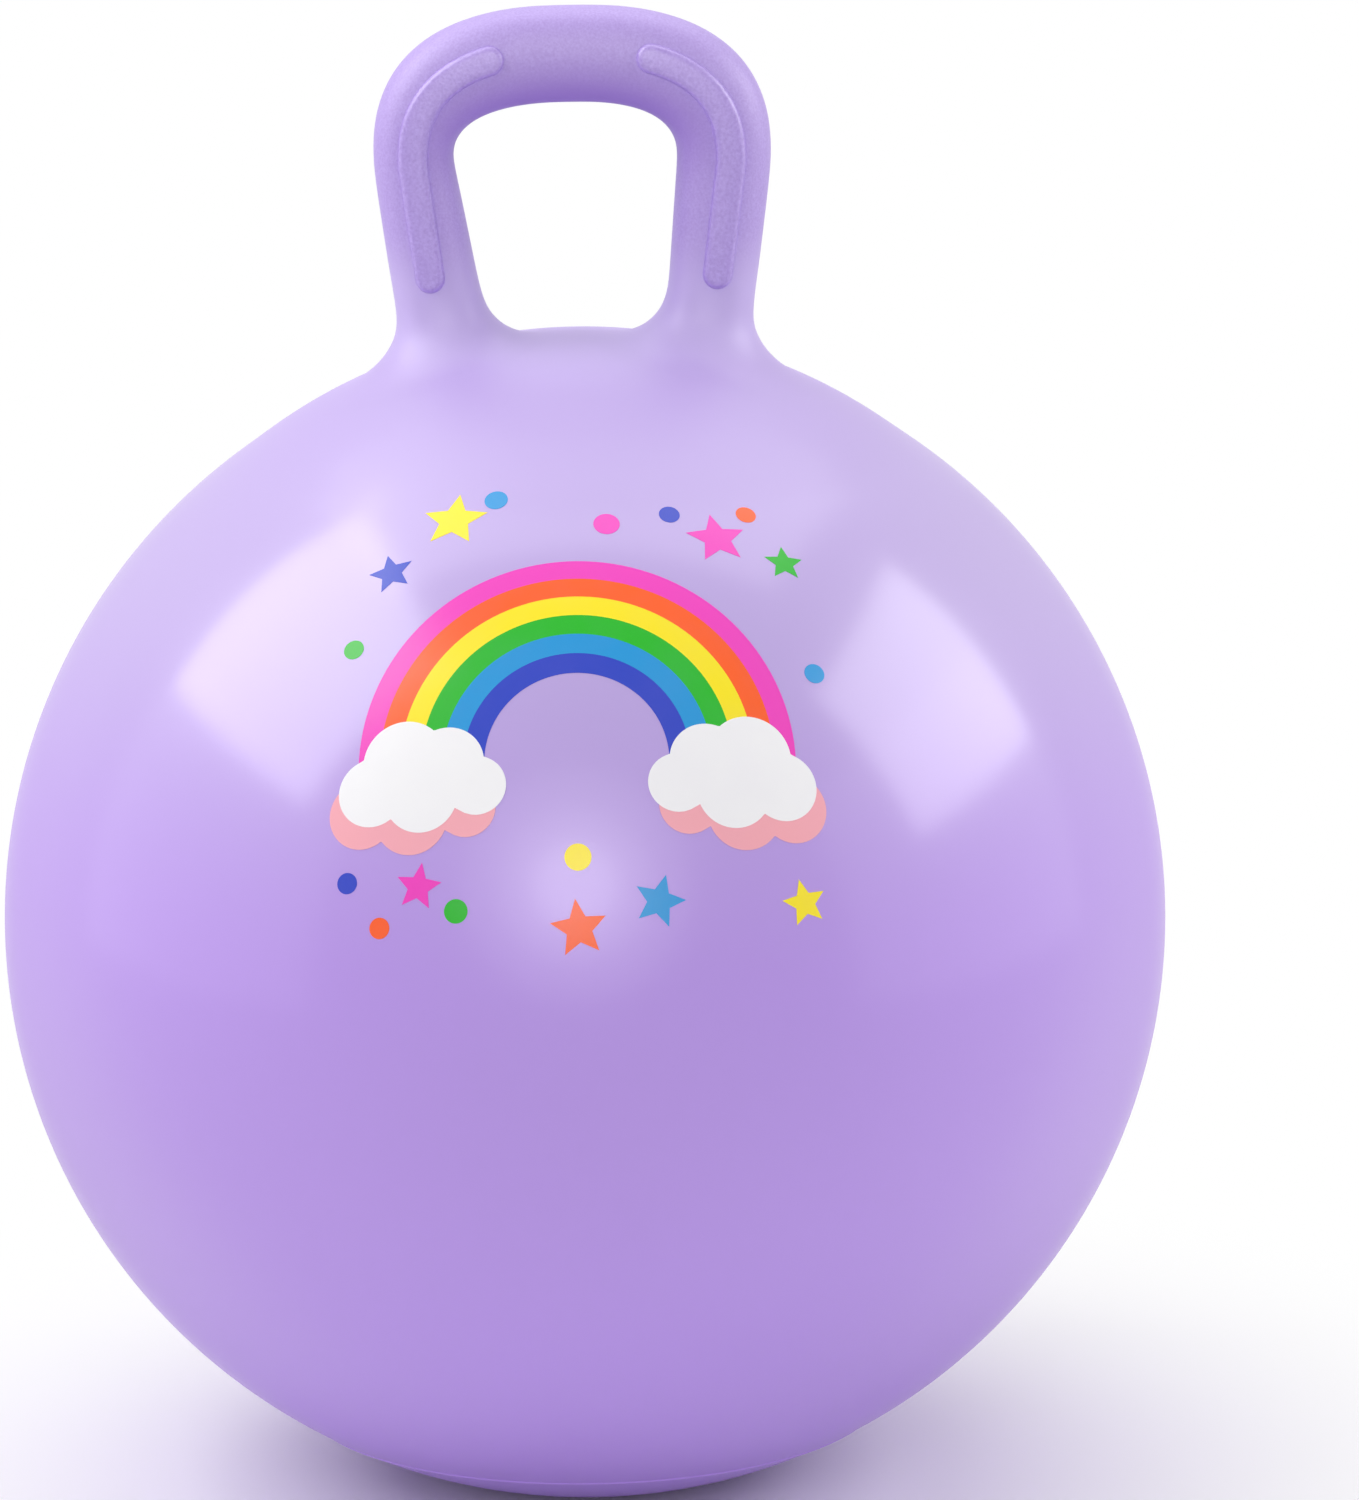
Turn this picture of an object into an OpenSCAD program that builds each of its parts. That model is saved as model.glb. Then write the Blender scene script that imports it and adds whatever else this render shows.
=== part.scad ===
// Hopper ball: a hollow PVC ball with a D-shaped carrying handle moulded in one skin,
// and a push-in stopper in a valve seat at the back.
// The ball stands on the floor at z = 0 with its front towards -Y.

/* [Ball] */
// Outside diameter of the inflated ball
ball_d = 450; // [400:5:600]
// Thickness of the ball's skin
ball_wall = 1; // [0.8:0.1:2.5]
// Diameter of the patch that flattens on the floor
rest_d = 66; // [50:1:100]
// Height that the crown under the handle stands above the round ball
crown_h = 4.3; // [2:0.1:8]
// Angle from the top down to where the crown runs into the ball
crown_angle = 36; // [30:1:44]

/* [Mould ring] */
// Diameter of the ring that the mould's lid leaves underneath
ring_d = 225; // [150:1:300]
// Height that the ring stands above the skin
ring_h = 0.5; // [0.3:0.1:1.2]
// Radius of the ring's round back
ring_r = 1.2; // [0.8:0.1:3]

/* [Handle] */
// Height of the handle above the top of the round ball
handle_h = 131.6; // [115:0.2:160]
// Width across the shoulders of the handle
handle_w = 152; // [135:1:180]
// Height of the arch, from the shoulders to the top
arch_h = 58.6; // [50:0.2:70]
// How square the arch's corners are, where 2 is an ellipse
arch_power = 2.5; // [2:0.1:3.5]
// Width of each leg, seen from the front
leg_w = 33.2; // [26:0.2:40]
// Angle that the legs lean in towards the ball
leg_lean = 7.5; // [4:0.5:12]
// Height of the bar across the top
bar_w = 36.8; // [28:0.2:44]
// Depth of the handle, front to back
bar_t = 32; // [26:0.5:40]
// How square the handle's cross-section is, where 2 is an ellipse
bar_power = 2.3; // [2:0.1:3]
// Thickness of the handle's skin
handle_wall = 2.5; // [1.5:0.1:4]
// Radius of the fillet between the legs and the ball
foot_fillet = 21; // [12:0.5:24]
// Distance that this fillet reaches on the outer side of a leg
foot_reach = 27; // [18:0.5:32]

/* [Grip ridges] */
// Width of each raised ridge
ridge_w = 11.6; // [8:0.2:14]
// Height of a ridge above the handle
ridge_h = 1.8; // [1:0.1:3]
// Distance of a ridge's upper end from the middle of the handle
ridge_end_x = 25; // [18:1:36]
// Height of a ridge's lower end above the top of the round ball
ridge_end_z = 24; // [16:1:40]
// Distance that a ridge lies outside the middle of the leg
ridge_out = 1; // [0:0.2:3]
// Distance that a ridge's line lies above the middle of the bar
ridge_lift = 3; // [0:0.5:5]
// Depth of a ridge's root below the handle's face
ridge_root = 5; // [4:0.5:6]

/* [Valve] */
// Diameter of the hole that takes the stopper or a pump's nozzle
bore_d = 7.2; // [5:0.1:10]
// Length of the seat's sleeve inside the ball
sleeve_l = 14; // [10:0.5:20]
// Thickness of the sleeve
sleeve_wall = 2.6; // [1.5:0.1:4]
// Diameter of the seat's flange, which is bonded inside the skin
flange_d = 30; // [24:0.5:40]
// Thickness of the flange
flange_t = 2.4; // [1.8:0.1:4]
// Diameter of the hole in the skin
skin_hole_d = 18; // [16:0.5:22]
// Gap of the bond between the flange and the skin
bond_gap = 0.05; // [0.02:0.01:0.2]

/* [Stopper] */
// Diameter of the stopper's head
head_d = 13.6; // [11:0.2:15]
// Thickness of the head
head_t = 1.7; // [1.2:0.1:3]
// Radius of the head's rounded rim
head_round = 0.6; // [0.3:0.1:1]
// Length of the stem under the head
stem_l = 17; // [12:0.5:24]
// Diameter of the stem between its ribs
stem_d = 6.2; // [4:0.1:8]
// Diameter of the stem's blunt tip
tip_d = 3.4; // [2:0.1:5]
// Length of the tapered tip
tip_l = 4; // [2:0.2:6]
// Number of sealing ribs round the stem
rib_count = 3; // [1:1:4]
// Length of each rib along the stem
rib_l = 1.6; // [1:0.1:3]
// Running clearance of the ribs in the bore
rib_clearance = 0.06; // [0.02:0.01:0.1]
// Gap between the head and its recess
head_clearance = 0.15; // [0.1:0.05:0.5]

/* [Hidden] */
$fn = 128;

// Overrun of every cut past the face it opens
overrun = 5;

// The ball: a sphere cut flat where it rests, with a shallower sphere as its crown
ball_r = ball_d / 2;
ball_z = sqrt(pow(ball_r, 2) - pow(rest_d / 2, 2));
crown_r = ball_r - crown_h / (1 / cos(crown_angle) - 1);
crown_z = (ball_r - crown_r) / cos(crown_angle);
ring_angle = asin(ring_d / ball_d);

// The handle's heights and its legs' centre line, measured from the ball's centre
top_z = ball_r + handle_h;
shoulder_z = top_z - arch_h;
shoulder_x = (handle_w - leg_w) / 2;

// How finely the handle is divided
arch_steps = 18;
leg_steps = 3;
fillet_steps = 6;
// Angle of the fillet at which it dips into the skin, short of running out flat
fillet_end = 82;
outer_sides = 28;
inner_sides = 20;
ridge_steps = 20;
ridge_sides = 8;
// How square a ridge's cross-section is, and its narrowest ring as a share of its width
ridge_power = 3;
ridge_tip_share = 0.3;
// Depth that the outer foot goes into the skin, as a share of the skin
foot_dip_share = 0.5;

// A ridge's line, which runs from the bar round the shoulder and down the leg
ridge_x = shoulder_x + ridge_out;
ridge_rise = arch_h - bar_w / 2 + ridge_lift;
ridge_start = acos(pow(ridge_end_x / ridge_x, arch_power / 2));
ridge_leg = (shoulder_z - ball_r - ridge_end_z) / cos(leg_lean);
// Part of a ridge's steps that go round the shoulder
ridge_bend_share = 0.6;
// Part of a ridge's line at each end that its rounding takes
ridge_end_share = 0.05;

// The valve's axis runs along +Y at the height of the ball's centre
flange_face_y = ball_r - ball_wall - bond_gap;
// The flange slopes to follow the inside of the skin
flange_drop = flange_face_y - sqrt(pow(flange_face_y, 2) - pow(flange_d / 2, 2));
recess_d = head_d + 2 * head_clearance;
head_y = ball_r - head_t;
recess_y = head_y - head_clearance;
sleeve_end_y = flange_face_y - flange_t - sleeve_l;
sleeve_d = bore_d + 2 * sleeve_wall;
rib_d = bore_d - 2 * rib_clearance;
// Ribs share the straight stretch of the stem evenly
rib_pitch = (stem_l - tip_l) / (rib_count + 1);
// Steps round the head's rim
rim_steps = 6;
// Part of a rib that is a plain land
land_share = 0.5;

// A number's power that keeps its sign
function signed_power(v, p) = sign(v) * pow(abs(v), p);

// A point of a superellipse with the given half sizes
function superellipse(angle, half, power) = [
    half[0] * signed_power(cos(angle), 2 / power),
    half[1] * signed_power(sin(angle), 2 / power)
];

function unit(v) = v / norm(v);

// The leg's centre line, as a distance down from the shoulder
function leg_point(side, down) = [
    side * (shoulder_x - down * sin(leg_lean)),
    shoulder_z - down * cos(leg_lean)
];

// The distance down the leg at which its centre line meets a sphere round the crown's centre
function leg_reach(radius) =
    let (
        start = leg_point(1, 0) - [0, crown_z],
        way = [-sin(leg_lean), -cos(leg_lean)],
        along = start * way
    )
    -along - sqrt(along * along - start * start + radius * radius);

// One flat ring of the handle, square to its centre line
function flat_ring(centre, normal, half, sides) = [
    for (i = [0 : sides - 1])
        let (p = superellipse(360 * i / sides, half, bar_power))
        [centre[0] + p[0] * normal[0], p[1], centre[1] + p[0] * normal[1]]
];

// One ring of a foot, bent to lie at a height above the crown and grown by a flare,
// which is given for the side towards the gap and for the side away from it
function foot_ring(side, height, flare, half, surface_r, sides) =
    let (
        across = [cos(leg_lean), -side * sin(leg_lean)],
        shift = side * (flare[1] - flare[0]) / 2,
        c = leg_point(side, leg_reach(surface_r + height)) + shift * across,
        grown = half + [(flare[0] + flare[1]) / 2, flare[0]],
        flat = flat_ring(c, across, grown, sides),
        middle = [0, 0, crown_z]
    )
    [for (p = flat) middle + (surface_r + height) * unit(p - middle)];

// The rings of one foot, from the root inside the ball up to the top of the fillet
function foot_rings(side, half, fillet, surface_r, dip, sides) = concat(
    [foot_ring(side, -dip, fillet * (1 - cos(fillet_end)), half, surface_r, sides)],
    [for (i = [0 : fillet_steps])
        let (a = fillet_end * (1 - i / fillet_steps))
        foot_ring(side, fillet[0] * (1 - sin(a)), fillet * (1 - cos(a)), half, surface_r, sides)]
);

// The rings of one leg between its fillet and the shoulder
function leg_rings(side, half, fillet_top, sides) = [
    for (i = [1 : leg_steps])
        let (c = leg_point(side, fillet_top * (1 - i / (leg_steps + 1))))
        flat_ring(c, [cos(leg_lean), -side * sin(leg_lean)], half, sides)
];

// The rings of the arch, each reaching from the gap's outline to the handle's
function arch_rings(inset, sides) = [
    for (i = [0 : arch_steps])
        let (
            a = 180 * i / arch_steps,
            outside = superellipse(a, [handle_w / 2, arch_h], arch_power),
            inside = superellipse(a, [handle_w / 2 - leg_w, arch_h - bar_w], arch_power),
            centre = [0, shoulder_z] + (outside + inside) / 2,
            half_w = norm(outside - inside) / 2 - inset
        )
        flat_ring(centre, unit(outside - inside), [half_w, bar_t / 2 - inset], sides)
];

function reversed(list) = [for (i = [len(list) - 1 : -1 : 0]) list[i]];

// A ring counted from its opposite point in the other direction
function turned(ring) =
    let (n = len(ring))
    [for (j = [0 : n - 1]) ring[(n + n / 2 - j) % n]];

// Walls between neighbouring rings, and a fan over each end
function tube_faces(rings, sides) =
    let (
        at = function(i, j) i * sides + j % sides,
        last = rings - 1,
        first_hub = rings * sides,
        last_hub = first_hub + 1
    )
    concat(
        [for (i = [0 : last - 1], j = [0 : sides - 1]) [at(i, j), at(i + 1, j), at(i + 1, j + 1)]],
        [for (i = [0 : last - 1], j = [0 : sides - 1]) [at(i, j), at(i + 1, j + 1), at(i, j + 1)]],
        [for (j = [0 : sides - 1]) [first_hub, at(0, j), at(0, j + 1)]],
        [for (j = [0 : sides - 1]) [last_hub, at(last, j + 1), at(last, j)]]
    );

// The middle of a ring's points
function mean_point(ring) =
    let (ones = [for (p = ring) 1])
    ones * ring / len(ring);

// A closed solid through a list of rings
module loft(rings) {
    sides = len(rings[0]);
    hubs = [mean_point(rings[0]), mean_point(rings[len(rings) - 1])];
    points = concat([for (ring = rings, p = ring) p], hubs);
    polyhedron(points, tube_faces(len(rings), sides));
}

// The whole handle from foot to foot, drawn in by an inset for the hollow inside it
module handle_loft(inset, surface_r, dip, sides) {
    half = [leg_w / 2 - inset, bar_t / 2 - inset];
    fillet = [foot_fillet + inset, foot_reach + inset];
    fillet_top = leg_reach(surface_r + fillet[0]);
    right = concat(
        foot_rings(1, half, fillet, surface_r, dip, sides),
        leg_rings(1, half, fillet_top, sides)
    );
    left = concat(
        foot_rings(-1, half, fillet, surface_r, dip, sides),
        leg_rings(-1, half, fillet_top, sides)
    );
    // The left leg's sections run the other way round, so that one tube joins both feet
    loft(concat(right, arch_rings(inset, sides), [for (ring = reversed(left)) turned(ring)]));
}

// A place on a ridge's line in the XZ plane, from its upper end at 0 to its lower end at 1
function ridge_point(along) =
    along < ridge_bend_share
        ? let (
            a = ridge_start * (1 - along / ridge_bend_share),
            p = superellipse(a, [ridge_x, ridge_rise], arch_power)
        )
        [p[0], shoulder_z + p[1]]
        : leg_point(1, ridge_leg * (along - ridge_bend_share) / (1 - ridge_bend_share)) + [ridge_out, 0];

// The half width of a ridge, drawn in round its two ends
function ridge_half(along) =
    let (
        r = ridge_w / 2,
        p = ridge_point(along),
        end = min(norm(p - ridge_point(0)), norm(p - ridge_point(1)), r)
    )
    r * max(ridge_tip_share, sqrt(1 - pow(1 - end / r, 2)));

// One ring across a ridge, with its root inside the handle
function ridge_ring(along) =
    let (
        step = 1 / ridge_steps / 2,
        c = ridge_point(along),
        way = unit(ridge_point(min(along + step, 1)) - ridge_point(max(along - step, 0))),
        half = [ridge_half(along), ridge_h + ridge_root]
    )
    [for (i = [0 : ridge_sides])
        let (p = superellipse(180 * i / ridge_sides, half, ridge_power))
        [c[0] + p[0] * way[1], p[1] + bar_t / 2 - ridge_root, c[1] - p[0] * way[0]]];

// One raised ridge on the back of the right leg
module grip_ridge() {
    ends = [0 : ridge_end_share / 2 : ridge_end_share];
    places = concat(
        [for (e = ends) e],
        [for (i = [1 : ridge_steps - 1]) ridge_end_share + (1 - 2 * ridge_end_share) * i / ridge_steps],
        [for (e = ends) 1 - ridge_end_share + e]
    );
    loft([for (along = places) ridge_ring(along)]);
}

// The four ridges, front and back on both legs
module grip_ridges() {
    for (front = [0, 1], left = [0, 1])
        mirror([0, front, 0])
            mirror([left, 0, 0])
                grip_ridge();
}

// Half of the ball's outline, drawn in by an inset
module ball_profile(inset) {
    r = ball_r - inset;
    cap_r = crown_r - inset;
    joint = [sin(crown_angle), cos(crown_angle)];
    intersection() {
        union() {
            circle(r);
            translate([0, crown_z])
                circle(cap_r);
            polygon([[0, 0], r * joint, cap_r * joint + [0, crown_z], [0, crown_z]]);
        }
        translate([0, inset - ball_z])
            square([ball_d, ball_d + handle_h]);
    }
}

module ball_body(inset) {
    rotate_extrude()
        ball_profile(inset);
}

// The raised witness line of the mould's lid
module lid_ring() {
    rotate_extrude()
        rotate(ring_angle - 90)
            translate([ball_r + ring_h - ring_r, 0])
                circle(ring_r);
}

module ball_skin() {
    color("mediumpurple")
        translate([0, 0, ball_z])
            difference() {
                union() {
                    ball_body(0);
                    lid_ring();
                    handle_loft(0, crown_r, ball_wall * foot_dip_share, outer_sides);
                    grip_ridges();
                }
                ball_body(ball_wall);
                handle_loft(handle_wall, crown_r - ball_wall, overrun, inner_sides);
                valve_cylinder(skin_hole_d, ball_r - overrun, ball_r + overrun);
            }
}

// A cylinder on the valve's axis between two distances from the ball's centre
module valve_cylinder(d, from, to) {
    translate([0, from, 0])
        rotate([-90, 0, 0])
            cylinder(d = d, h = to - from);
}

// Half of the seat's outline round the valve's axis, with its sleeve downwards
module seat_profile() {
    flange_r = flange_d / 2;
    under_y = flange_face_y - flange_t;
    difference() {
        polygon([
            [0, flange_face_y], [flange_r, flange_face_y - flange_drop], [flange_r, under_y],
            [sleeve_d / 2, under_y], [sleeve_d / 2, sleeve_end_y], [0, sleeve_end_y]
        ]);
        translate([0, sleeve_end_y - overrun])
            square([bore_d / 2, ball_r]);
        translate([0, recess_y])
            square([recess_d / 2, overrun]);
    }
}

// Half of the stopper's outline, with its head's underside at 0 and its stem downwards
module plug_profile() {
    rim = [head_d / 2, head_t] - [head_round, head_round];
    polygon(concat(
        [[0, head_t]],
        [for (i = [0 : rim_steps])
            let (a = 90 * (1 - i / rim_steps))
            rim + head_round * [cos(a), sin(a)]],
        [[head_d / 2, 0], [stem_d / 2, 0]],
        [for (i = [1 : rib_count], p = rib_points(-i * rib_pitch)) p],
        [[stem_d / 2, tip_l - stem_l], [tip_d / 2, -stem_l], [0, -stem_l]]
    ));
}

// One sealing rib: a land with a lead-in towards the tip
function rib_points(y) =
    let (land = rib_l * land_share)
    [[stem_d / 2, y + land], [rib_d / 2, y + land], [rib_d / 2, y], [stem_d / 2, y + land - rib_l]];

// Turns an outline round the valve's axis
module valve_turned() {
    rotate([-90, 0, 0])
        rotate_extrude()
            children();
}

module valve_seat() {
    color("plum")
        translate([0, 0, ball_z])
            valve_turned()
                seat_profile();
}

module valve_plug() {
    color("white")
        translate([0, head_y, ball_z])
            valve_turned()
                plug_profile();
}

ball_skin();
valve_seat();
valve_plug();
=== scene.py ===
"""The looks of a hopper ball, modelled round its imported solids: skin, grip ridges, mould ring and print."""
import math

import bmesh
import bpy
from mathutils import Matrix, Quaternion, Vector


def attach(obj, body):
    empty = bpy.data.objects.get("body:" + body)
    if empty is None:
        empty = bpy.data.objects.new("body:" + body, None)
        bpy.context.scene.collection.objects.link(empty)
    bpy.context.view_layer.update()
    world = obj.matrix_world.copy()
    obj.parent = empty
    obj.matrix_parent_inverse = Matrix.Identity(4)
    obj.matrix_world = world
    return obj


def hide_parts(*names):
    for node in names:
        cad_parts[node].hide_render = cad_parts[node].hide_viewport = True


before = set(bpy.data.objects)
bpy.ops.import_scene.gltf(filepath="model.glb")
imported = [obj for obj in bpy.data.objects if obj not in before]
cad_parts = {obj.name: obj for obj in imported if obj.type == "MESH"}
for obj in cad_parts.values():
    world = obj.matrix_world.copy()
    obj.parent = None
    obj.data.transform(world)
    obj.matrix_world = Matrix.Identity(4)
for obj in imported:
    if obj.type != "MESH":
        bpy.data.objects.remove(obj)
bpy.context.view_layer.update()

MM = 0.001

# The ball, in metres: its centre stands this high because the skin flattens on the floor.
BALL_R = 225 * MM
REST_R = 33 * MM
BALL_Z = math.sqrt(BALL_R ** 2 - REST_R ** 2)
BALL_CENTRE = Vector((0, 0, BALL_Z))

# The crown is a shallower sphere that carries the handle.
CROWN_RISE = 4.3 * MM
CROWN_ANGLE = math.radians(36)
CROWN_R = BALL_R - CROWN_RISE / (1 / math.cos(CROWN_ANGLE) - 1)
CROWN_Z = (BALL_R - CROWN_R) / math.cos(CROWN_ANGLE)
CROWN_CENTRE = Vector((0, 0, CROWN_Z))
CROWN_EDGE = math.atan2(CROWN_R * math.sin(CROWN_ANGLE), CROWN_Z + CROWN_R * math.cos(CROWN_ANGLE))

# The handle, measured from the ball's centre.
HANDLE_W = 152 * MM
ARCH_H = 58.6 * MM
ARCH_POWER = 2.5
LEG_W = 33.2 * MM
LEG_LEAN = math.radians(7.5)
BAR_W = 36.8 * MM
BAR_T = 32 * MM
BAR_POWER = 2.3
FOOT_H = 20.5 * MM
FOOT_OUT_H = 18 * MM
FOOT_IN = 20.5 * MM
FOOT_OUT = 27 * MM
FOOT_FRONT = 21 * MM
HANDLE_H = 131.6 * MM
SHOULDER_Z = BALL_R + HANDLE_H - ARCH_H
SHOULDER_X = (HANDLE_W - LEG_W) / 2
# The gap sits this far to the left between the shoulders, and runs true at the feet.
GAP_SKEW = 2.7 * MM

# The grip ridges.
RIDGE_W = 11.6 * MM
RIDGE_H = 2.2 * MM
RIDGE_ROOT = 1.2 * MM
RIDGE_EDGE = 2.2 * MM
RIDGE_WALL = 1 * MM
RIDGE_END_X = 25 * MM
RIDGE_END_Z = 24 * MM
RIDGE_OUT = 1 * MM
RIDGE_LIFT = 3 * MM
RIDGE_RISE = ARCH_H - BAR_W / 2 + RIDGE_LIFT

# The ring that the mould's lid leaves underneath.
RING_R = 112.5 * MM
RING_BEAD = 1.2 * MM
RING_PROUD = 0.5 * MM

# The valve's hole in the middle of the back, and the pocket for its seat:
# the radius and the depth of each ring, in millimetres.
POCKET_RINGS = (
    (15, 0), (10.4, 0), (9.4, 0), (9.05, 0.15), (9, 0.5), (9, 0.8),
    (10, 0.85), (16.5, 0.9), (17, 2), (17, 19), (12, 20),
)
POCKET_REACH = 18 * MM
HOLE_EDGE = 9.6 * MM

# The skin's cage: faces along each side of the cube it starts from, and the block that a foot grows from.
CAGE = 24
FOOT_AT = 3
FOOT_SPAN = 2
# Smooth subdivision draws in a closed ring of 16 points, or of 8 at the hole, so the cage is larger.
RING_GROW = 6 / (4 + 2 * math.cos(math.tau / 16))
HOLE_GROW = 6 / (4 + 2 * math.cos(math.tau / 8))
# How far the outer skin's vertices lie from the ball's outline at most: less over the pocket.
SKIN_ABOVE = 1 * MM
SKIN_BELOW = 2 * MM
SKIN_BELOW_AT_POCKET = 0.6 * MM
# The part of a foot's own width over which the ball's outline eases into it.
FOOT_EASE = 0.15

Y_AXIS = Vector((0, 1, 0))


def nothing_selected():
    if bpy.context.mode != "OBJECT":
        bpy.ops.object.mode_set(mode="OBJECT")
    bpy.ops.object.select_all(action="DESELECT")


def only(obj):
    """Makes one object the active one and the only one selected."""
    nothing_selected()
    obj.select_set(True)
    bpy.context.view_layer.objects.active = obj


def settle(obj):
    """Puts the object's place into its mesh."""
    only(obj)
    bpy.ops.object.transform_apply(location=True, rotation=True, scale=True)


def apply_modifier(obj, kind, **settings):
    only(obj)
    modifier = obj.modifiers.new(kind.lower(), kind)
    for key, value in settings.items():
        setattr(modifier, key, value)
    bpy.ops.object.modifier_apply(modifier=modifier.name)


def smooth_by_angle(obj, degrees):
    only(obj)
    bpy.ops.object.shade_smooth_by_angle(angle=math.radians(degrees))


def edit_faces(obj, wanted):
    """Goes into edit mode with only the faces selected whose middle passes the test."""
    only(obj)
    bpy.ops.object.mode_set(mode="EDIT")
    bpy.ops.mesh.select_mode(type="FACE")
    bpy.ops.mesh.select_all(action="DESELECT")
    mesh = bmesh.from_edit_mesh(obj.data)
    for face in mesh.faces:
        if wanted(face.calc_center_median()):
            face.select_set(True)
    bmesh.update_edit_mesh(obj.data)


def mark_selected(obj, marks):
    """Writes on each selected vertex its turn round the section and its share of the way out."""
    mesh = bmesh.from_edit_mesh(obj.data)
    turn = mesh.verts.layers.float.get("turn") or mesh.verts.layers.float.new("turn")
    share = mesh.verts.layers.float.get("share") or mesh.verts.layers.float.new("share")
    for vert in mesh.verts:
        if vert.select:
            vert[turn], vert[share] = marks(vert.co)
    bmesh.update_edit_mesh(obj.data)


def place_selected(obj, spot):
    """Moves each selected vertex to the spot for its turn and share."""
    mesh = bmesh.from_edit_mesh(obj.data)
    turn = mesh.verts.layers.float["turn"]
    share = mesh.verts.layers.float["share"]
    for vert in mesh.verts:
        if vert.select:
            vert.co = spot(vert[turn], vert[share])
    bmesh.update_edit_mesh(obj.data)


def grow_rings(obj, spots):
    """Places the selected block on the first spot, then extrudes it to each of the next ones."""
    place_selected(obj, spots[0])
    for spot in spots[1:]:
        bpy.ops.mesh.extrude_region_move()
        place_selected(obj, spot)


def square_turn(p, q):
    """The angle of a point of a square grid, with equal angles for equal steps round its square."""
    far = max(abs(p), abs(q))
    if far < 0.01:
        return 0.0
    eighth = math.pi / 4
    if p >= far - 0.01:
        return eighth * q / far
    if q >= far - 0.01:
        return eighth * (2 - p / far)
    if p <= 0.01 - far:
        return eighth * (4 - q / far)
    return eighth * (6 + p / far)


def superellipse(turn, half_a, half_b, power):
    c, s = math.cos(turn), math.sin(turn)
    return (
        half_a * math.copysign(abs(c) ** (2 / power), c),
        half_b * math.copysign(abs(s) ** (2 / power), s),
    )


def ball_reach(polar):
    """The distance from the ball's centre to its skin, at an angle from the top."""
    if polar < CROWN_EDGE:
        return CROWN_Z * math.cos(polar) + math.sqrt(CROWN_R ** 2 - (CROWN_Z * math.sin(polar)) ** 2)
    if polar < CROWN_ANGLE:
        return BALL_R / math.cos(CROWN_ANGLE - polar)
    return BALL_R


def onto_ball(point):
    """The point of the skin in the direction of a point from the ball's centre."""
    out = (point - BALL_CENTRE).normalized()
    return BALL_CENTRE + ball_reach(math.acos(max(-1.0, min(1.0, out.z)))) * out


def leg_point(side, down):
    """The leg's centre line, at a distance down from the shoulder."""
    x = SHOULDER_X - down * math.sin(LEG_LEAN)
    return Vector((side * x, 0, SHOULDER_Z - down * math.cos(LEG_LEAN)))


def leg_reach(radius):
    """How far down the leg its centre line meets a sphere round the crown's centre."""
    start = leg_point(1, 0) - CROWN_CENTRE
    way = Vector((-math.sin(LEG_LEAN), 0, -math.cos(LEG_LEAN)))
    along = start.dot(way)
    return -along - math.sqrt(along * along - start.dot(start) + radius * radius)


def flat_section(centre, across, half_w, half_t):
    """A spot on one flat section of the handle."""
    def spot(turn, share):
        a, b = superellipse(turn, half_w * RING_GROW, half_t * RING_GROW, BAR_POWER)
        return BALL_CENTRE + centre + share * (a * across + b * Y_AXIS)
    return spot


def leg_across(side):
    return Vector((math.cos(LEG_LEAN), 0, -side * math.sin(LEG_LEAN)))


def flare(height, tall, reach):
    """How far a fillet of a height and a reach has come out at a height over the crown."""
    return reach * (1 - math.sqrt(1 - max(0.0, 1 - height / tall) ** 2))


def foot_section(side, bend):
    """A spot on a section of the foot, where its fillet has come round to an angle and lies at one height."""
    height = FOOT_H * (1 - math.sin(bend))
    inner, front = flare(height, FOOT_H, FOOT_IN), flare(height, FOOT_H, FOOT_FRONT)
    outer = flare(height, FOOT_OUT_H, FOOT_OUT)
    centre = leg_point(side, leg_reach(CROWN_R + height)) + side * (outer - inner) / 2 * leg_across(side)
    flat = flat_section(centre, leg_across(side), (LEG_W + inner + outer) / 2, BAR_T / 2 + front)

    def spot(turn, share):
        out = flat(turn, share) - BALL_CENTRE - CROWN_CENTRE
        return BALL_CENTRE + CROWN_CENTRE + (CROWN_R + height) * out.normalized()
    return spot


def leg_section(side, part):
    """A spot on a section of the leg, at a part of the way down from the shoulder to the fillet."""
    down = part * leg_reach(CROWN_R + FOOT_H)
    skew = GAP_SKEW * (1 - part)
    centre = leg_point(side, down) - skew / 2 * leg_across(side)
    return flat_section(centre, leg_across(side), (LEG_W + side * skew) / 2, BAR_T / 2)


def arch_section(side, angle):
    """A spot on a section of the arch, from the gap's outline to the handle's."""
    outside = superellipse(angle, HANDLE_W / 2, ARCH_H, ARCH_POWER)
    inside = superellipse(angle, HANDLE_W / 2 - LEG_W, ARCH_H - BAR_W, ARCH_POWER)
    outside = Vector((side * outside[0], 0, outside[1]))
    inside = Vector((side * inside[0] - GAP_SKEW * math.cos(angle), 0, inside[1]))
    centre = (outside + inside) / 2 + Vector((0, 0, SHOULDER_Z))
    across = side * (outside - inside).normalized()
    return flat_section(centre, across, (outside - inside).length / 2, BAR_T / 2)


def handle_sections(side):
    """The sections of one half of the handle, from the ball up to the middle of the bar."""
    sections = []
    for degrees in (90, 70, 48, 24, 0):
        sections.append(foot_section(side, math.radians(degrees)))
    for part in (0.75, 0.5, 0.25):
        sections.append(leg_section(side, part))
    for degrees in (0, 8, 16, 25, 34, 43, 52, 61, 70, 78, 85):
        sections.append(arch_section(side, math.radians(degrees)))
    return sections


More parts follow.
